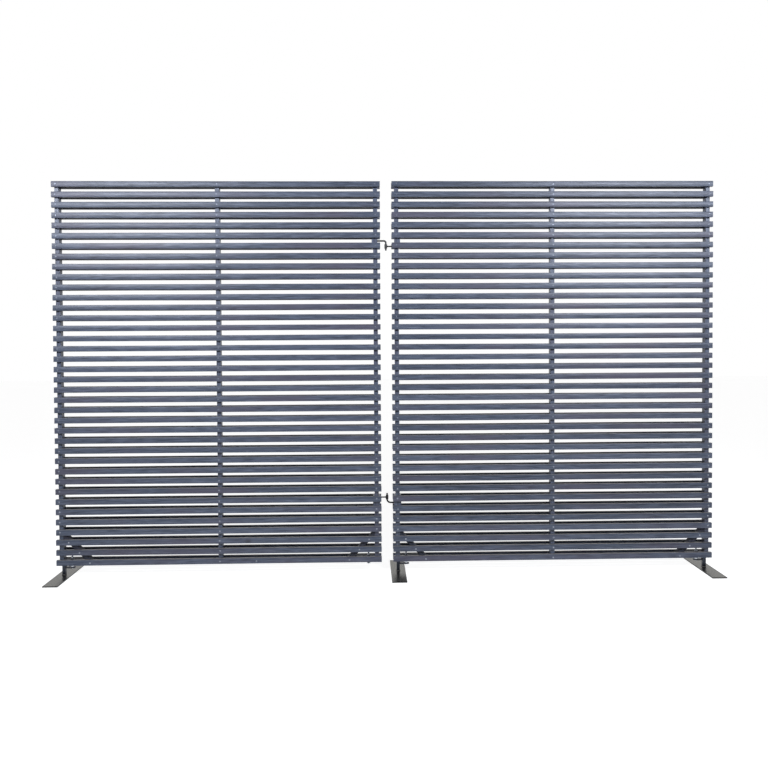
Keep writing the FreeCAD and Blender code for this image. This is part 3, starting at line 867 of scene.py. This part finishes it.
for side, sign in (("left", -1), ("right", 1)):
    bolts, foot_nuts, block_nuts, washers = [], [], [], []
    for place, distance in BOLT_FROM_CENTRE.items():
        x = sign * distance
        spare = side == "left" and place == "inner"
        name = f"{side}_{place}"
        draw = random.Random(name)
        bolts += bolt(f"{name}_bolt", x, SPARE_BOLT if spare else FOOT_BOLT)
        foot_nuts.append(nut(f"{name}_foot_nut", (x, 0, SPARE_NUT if spare else FOOT_NUT),
                             draw.uniform(0, 1)))
        block_nuts.append(nut(f"{name}_block_nut", (x, 0, BLOCK_TOP + WASHER_THICK),
                              draw.uniform(0, 1)))
        washers.append(turned(f"{name}_washer", WASHER, zinc, (x, 0, BLOCK_TOP)))
    for kind, pieces in (("foot_bolts", bolts), ("foot_nuts", foot_nuts),
                         ("block_nuts", block_nuts), ("block_washers", washers)):
        fit(joined(f"{side}_{kind}_zinc", pieces), f"{side}_panel", "zinc_fasteners",
            f"{side}_{kind}")

# %% [markdown]
# ## Pin hinges
#
# Each hinge is a bent round bar whose pin stands in a small barrel on the other
# panel. At the top the pin points down, at the bottom it points up, so the
# panels can't lift apart by accident. Both irons go level through their posts.
# The bar rule bends and bevels the hooks, and the barrels are turned, with a
# thin ripple of weld where their shanks begin.

# %% Hooks
SHANK_END = 67 * MM
HOOK_RADIUS, PIN_DROP = 4 * MM, 46 * MM
PIN_BEVEL, PIN_TIP_GIRTH = 1.5 * MM, 0.63
HOOKS = (("left_upper_hook", "left_panel", -1, 1581 * MM, 9 * MM),
         ("right_lower_hook", "right_panel", 1, 333 * MM, 16 * MM))
for name, panel, pin_way, arm, bend in HOOKS:
    tip = arm + pin_way * PIN_DROP
    far = SHANK_END if panel == "right_panel" else -SHANK_END
    path = [(0, 0, tip), (0, 0, tip - pin_way * PIN_BEVEL), (0, 0, arm), (far, 0, arm)]
    hook = sweep(f"{name}_iron", path, HOOK_RADIUS, black_iron, bend=bend, tip=PIN_TIP_GIRTH)
    fit(hook, panel, "black_hinge_iron", name)

# %% Eyes
BORE, WALL, HALF_TALL, EYE_EDGE = 4.3 * MM, 6.5 * MM, 10 * MM, 0.6 * MM
BARREL = [(BORE, EYE_EDGE - HALF_TALL), (BORE + EYE_EDGE, -HALF_TALL),
          (WALL - EYE_EDGE, -HALF_TALL), (WALL, EYE_EDGE - HALF_TALL),
          (WALL, HALF_TALL - EYE_EDGE), (WALL - EYE_EDGE, HALF_TALL),
          (BORE + EYE_EDGE, HALF_TALL), (BORE, HALF_TALL - EYE_EDGE)]
EYE_SHANK, SHANK_START = 3.25 * MM, 5.4 * MM
BEAD_AT, BEAD_ROUND, BEAD_RADIUS = 7.1 * MM, 3.5 * MM, 1.1 * MM
EYES = (("right_upper_eye", "right_panel", 1, 1555 * MM),
        ("left_lower_eye", "left_panel", -1, 359 * MM))
for name, panel, sign, height in EYES:
    barrel = turned(f"{name}_barrel", BARREL, black_iron, (0, 0, height))
    shank = sweep(f"{name}_shank", [(sign * SHANK_START, 0, height),
                                    (sign * SHANK_END, 0, height)], EYE_SHANK, black_iron)
    ring = [(sign * BEAD_AT, BEAD_ROUND * math.cos(a), height + BEAD_ROUND * math.sin(a))
            for a in (math.pi / 4 * i for i in range(8))]
    bead = sweep(f"{name}_bead", ring, BEAD_RADIUS, black_iron, bend=2 * MM, step=0.7 * MM,
                 ripple=0.12, closed=True, sides=8)
    fit(joined(f"{name}_iron", [barrel, shank, bead]), panel, "black_hinge_iron", name)

# %% [markdown]
# ## Weld beads on the feet
#
# The square bar is welded to the flat bar all round, and the tab to the square
# bar along its top and underside. Without the beads the pieces only seem to be
# standing on each other.

# %% Weld beads
BASE_BEAD, TAB_BEAD, BEAD_STEP, BEAD_OUT = 1.5 * MM, 1.6 * MM, 0.6 * MM, 0.6 * MM
TAB_BEAD_HALF = 6.5 * MM
for foot, body in FEET.items():
    low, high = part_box(f"{foot}_foot_upright")
    middle, reach = (low.x + high.x) / 2, (high.x - low.x) / 2 + BEAD_OUT
    corners = [(middle + a * reach, b * reach, low.z + BEAD_OUT)
               for a, b in ((1, 1), (-1, 1), (-1, -1), (1, -1))]
    beads = [sweep(f"{foot}_base_bead", corners, BASE_BEAD, weld_steel, bend=1.6 * MM,
                   step=BEAD_STEP, ripple=0.13, closed=True, sides=10)]
    tab_low, tab_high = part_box(f"{foot}_foot_tab")
    towards = 1 if tab_low.x + tab_high.x > 2 * middle else -1
    edge = middle + towards * reach
    for label, z in (("top", tab_high.z + BEAD_OUT), ("under", tab_low.z - BEAD_OUT)):
        beads.append(sweep(f"{foot}_tab_{label}_bead",
                           [(edge, -TAB_BEAD_HALF, z), (edge, TAB_BEAD_HALF, z)], TAB_BEAD,
                           weld_steel, step=BEAD_STEP, ripple=0.13, sides=10))
    fit(joined(f"{foot}_foot_beads", beads), body, "steel_foot")

# %% [markdown]
# ## Slat screws
#
# Every slat is screwed to every post it crosses, on both faces, except that the
# three lowest slats are screwed to the corner braces instead of the end posts:
# over four hundred and fifty screws. One low-poly head is modelled with its
# six-lobed drive, and a geometry tree puts a copy on each crossing and spins it
# by a random amount, as a driver leaves it.


# %% One screw head
SCREW_PROFILE = ((3.8, -0.3, 0), (3.6, 0.35, 0), (3.1, 0.6, 0), (1.75, 0.6, 0.3),
                 (1.6, 0.12, 0.3))
SCREW_STEPS = 12


def screw_head():
    """A countersunk head with a six-lobed recess, facing up, its rim just proud.
    The profile gives radius, height and depth of the lobes in millimetres."""
    angles = [FULL_TURN * j / SCREW_STEPS for j in range(SCREW_STEPS)]
    points = [((radius - lobe * (j % 2)) * MM * math.cos(a),
               (radius - lobe * (j % 2)) * MM * math.sin(a), height * MM)
              for radius, height, lobe in SCREW_PROFILE for j, a in enumerate(angles)]
    faces = [(i * SCREW_STEPS + j, i * SCREW_STEPS + (j + 1) % SCREW_STEPS,
              (i + 1) * SCREW_STEPS + (j + 1) % SCREW_STEPS, (i + 1) * SCREW_STEPS + j)
             for i in range(len(SCREW_PROFILE) - 1) for j in range(SCREW_STEPS)]
    faces.append(tuple(range(len(points) - SCREW_STEPS, len(points))))
    faces.append(tuple(range(SCREW_STEPS - 1, -1, -1)))
    mesh = bpy.data.meshes.new("screw_head")
    mesh.from_pydata(points, [], faces)
    return as_object("screw_head", mesh)


head = screw_head()
print("screw head:", len(head.data.polygons), "faces")

# %% A rule for repeated screws
screw_rule, size = new_rule("screws_on_points", Piece="piece", Facing="turn", Seed="count",
                            Finish="finish")
shape = add(screw_rule, "GeometryNodeObjectInfo", {"Object": size["Piece"]}).outputs["Geometry"]
placed = add(screw_rule, "GeometryNodeInstanceOnPoints",
             {"Points": screw_rule.nodes["Group Input"], "Instance": shape,
              "Rotation": size["Facing"]})
spin = add(screw_rule, "FunctionNodeRandomValue", {3: FULL_TURN, "Seed": size["Seed"]},
           data_type="FLOAT").outputs[1]
spun = add(screw_rule, "GeometryNodeRotateInstances",
           {"Instances": placed, "Rotation": add(screw_rule, "ShaderNodeCombineXYZ", {"Z": spin}),
            "Local Space": True})
end_rule(screw_rule, spun, size["Finish"])
print("screw rule:", len(screw_rule.nodes), "nodes")

# %% Screws on every crossing
OUTER_POST, INNER_POST = 1539 * MM, 50 * MM
BRACE_REACH, BRACED_ROWS = 168 * MM, 3
STRAY_SCREW = 622 * MM
OFF_LINE, OFF_LEVEL = 1.5 * MM, 2 * MM
FIRST_SCREW_SEED = 31


def crossings(row, height, near, far):
    """How far from the hinge line a row of slats is screwed."""
    middle = (near + far) / 2
    if row < BRACED_ROWS:
        inset = BRACE_REACH - height
        return [near + inset, middle, far - inset]
    return [INNER_POST, middle, OUTER_POST]


for seed, (side, sign) in enumerate((("left", -1), ("right", 1)), start=FIRST_SCREW_SEED):
    low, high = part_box(f"{side}_front_slats")
    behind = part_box(f"{side}_rear_slats")[1].y
    pitch = (high.z - low.z - SLAT_FACE) / (SLATS - 1)
    near, far = sorted((abs(low.x), abs(high.x)))
    draw = random.Random(f"{side} screws")
    heads = []
    for face, y, turn in (("front", low.y, QUARTER), ("rear", behind, -QUARTER)):
        places = []
        for row in range(SLATS):
            height = SLAT_FACE / 2 + row * pitch
            spots = crossings(row, height, near, far)
            if (row, side, face) == (0, "left", "front"):
                spots.append(STRAY_SCREW)
            for x in spots:
                places.append((sign * x + draw.uniform(-OFF_LINE, OFF_LINE), y,
                               low.z + height + draw.uniform(-OFF_LEVEL, OFF_LEVEL)))
        heads.append(grow(screw_rule, f"{side}_{face}_screw_heads", places, Piece=head,
                          Facing=(turn, 0, 0), Seed=seed, Finish=screw_zinc))
        print(side, face, len(places), "screws")
    fit(joined(f"{side}_slat_screws", heads), f"{side}_panel", "zinc_fasteners")
bpy.data.objects.remove(head)

# %% [markdown]
# ## Studio
#
# The screen stands on a pale matt floor in a white room. The room's light on it
# is weak, because a strong one would come through every gap and wash out the
# slats. The white background is shown only to the rays that look at it: those
# from the camera, and those that metal mirrors, so that the steel feet reflect
# a white studio, while the floor still keeps the shadow of the screen.


# %% Floor
FLOOR_TONE, FLOOR_LIFT = "#E2E2E2", 0.9
WHITE = (1, 1, 1, 1)


def shown(tree):
    """1 for the rays that show the background: to the camera, off metal, through glass."""
    rays = add(tree, "ShaderNodeLightPath").outputs
    mirrored = add(tree, "ShaderNodeMath", {0: rays["Is Glossy Ray"],
                                            1: rays["Is Transmission Ray"]}, operation="MAXIMUM")
    return add(tree, "ShaderNodeMath", {0: rays["Is Camera Ray"], 1: mirrored},
               operation="MAXIMUM").outputs[0]


floor_mesh = bpy.data.meshes.new("floor")
floor_mesh.from_pydata([(-14, -9, 0), (14, -9, 0), (14, 16, 0), (-14, 16, 0)], [],
                       [(0, 1, 2, 3)])
floor = as_object("floor", floor_mesh)
floor_paint = bpy.data.materials.new("white_studio_floor")
floor_paint.use_nodes = True
tree = floor_paint.node_tree
shader = tree.nodes["Principled BSDF"]
shader.inputs["Base Color"].default_value = paint(FLOOR_TONE)
shader.inputs["Roughness"].default_value = 0.9
shader.inputs["Specular IOR Level"].default_value = 0.1
lift = add(tree, "ShaderNodeMath", {0: shown(tree), 1: FLOOR_LIFT}, operation="MULTIPLY")
glow = add(tree, "ShaderNodeEmission", {"Color": WHITE, "Strength": lift})
both = add(tree, "ShaderNodeAddShader", {0: shader, 1: glow})
tree.links.new(both.outputs[0], tree.nodes["Material Output"].inputs["Surface"])
floor.data.materials.append(floor_paint)
print("floor:", [round(side, 1) for side in floor.dimensions[:2]], "m")

# %% World
ROOM = 0.08
world = bpy.data.worlds.new("studio")
bpy.context.scene.world = world
world.use_nodes = True
tree = world.node_tree
backdrop = tree.nodes["Background"]
backdrop.inputs["Color"].default_value = WHITE
direction = add(tree, "ShaderNodeSeparateXYZ",
                {0: add(tree, "ShaderNodeTexCoord").outputs["Generated"]})
# Metal mirrors the white side of the room, behind the screen, and the dim one.
far_side = add(tree, "ShaderNodeMapRange",
               {"Value": direction.outputs["Y"], "From Min": -0.1, "From Max": 0.2,
                "To Min": ROOM, "To Max": 1.0})
rays = add(tree, "ShaderNodeLightPath").outputs
off_metal = add(tree, "ShaderNodeMix", {0: rays["Is Glossy Ray"], 2: ROOM, 3: far_side},
                data_type="FLOAT")
straight = add(tree, "ShaderNodeMath", {0: rays["Is Camera Ray"],
                                        1: rays["Is Transmission Ray"]}, operation="MAXIMUM")
strength = add(tree, "ShaderNodeMix", {0: straight, 2: off_metal, 3: 1.0}, data_type="FLOAT")
tree.links.new(strength.outputs[0], backdrop.inputs["Strength"])
print("room light:", ROOM, "of full white")

# %% [markdown]
# ## Lamps and camera
#
# Two soft lamps stand in front, one at each side and a little above the screen,
# so their sheen lies on the upper slats of each panel and fades downwards. The
# camera stands a little left of the hinges at chest height, with its lens and
# place worked out from where the panels' corners and the feet must fall.


# %% Lamps
LAMP_WIDTH, LAMP_HEIGHT, LAMP_POWER = 1.0, 0.8, 35
LAMP_COLOUR, LAMP_SPREAD = "#F2F6FF", math.radians(120)


def soft_lamp(name, place, aim):
    lamp = bpy.data.lights.new(name, "AREA")
    lamp.color = paint(LAMP_COLOUR)[:3]
    lamp.spread = LAMP_SPREAD
    lamp.shape = "RECTANGLE"
    lamp.size, lamp.size_y, lamp.energy = LAMP_WIDTH, LAMP_HEIGHT, LAMP_POWER
    stand = bpy.data.objects.new(name, lamp)
    bpy.context.scene.collection.objects.link(stand)
    stand.location = place
    stand.rotation_euler = (Vector(aim) - Vector(place)).to_track_quat("-Z", "Y").to_euler()


soft_lamp("left_softbox", (-2.05, -2.65, 2.42), (-1.0, 0, 1.8))
soft_lamp("right_softbox", (1.99, -2.65, 2.42), (1.0, 0, 1.8))
print("two lamps of", LAMP_POWER, "W")

# %% Camera
camera = bpy.data.cameras.new("camera")
camera.lens = 34.515
camera.sensor_width = 36
camera.shift_y = -0.0419
tripod = bpy.data.objects.new("camera", camera)
bpy.context.scene.collection.objects.link(tripod)
tripod.location = (-0.09597, -3.50762, 1.12859)
tripod.rotation_euler = [math.radians(a) for a in (88.7853, 0.3093, -1.3931)]
bpy.context.scene.camera = tripod
bpy.context.scene.view_settings.view_transform = "Standard"
print(f"camera: {camera.lens:.1f} mm lens, {tripod.location.z:.2f} m up")
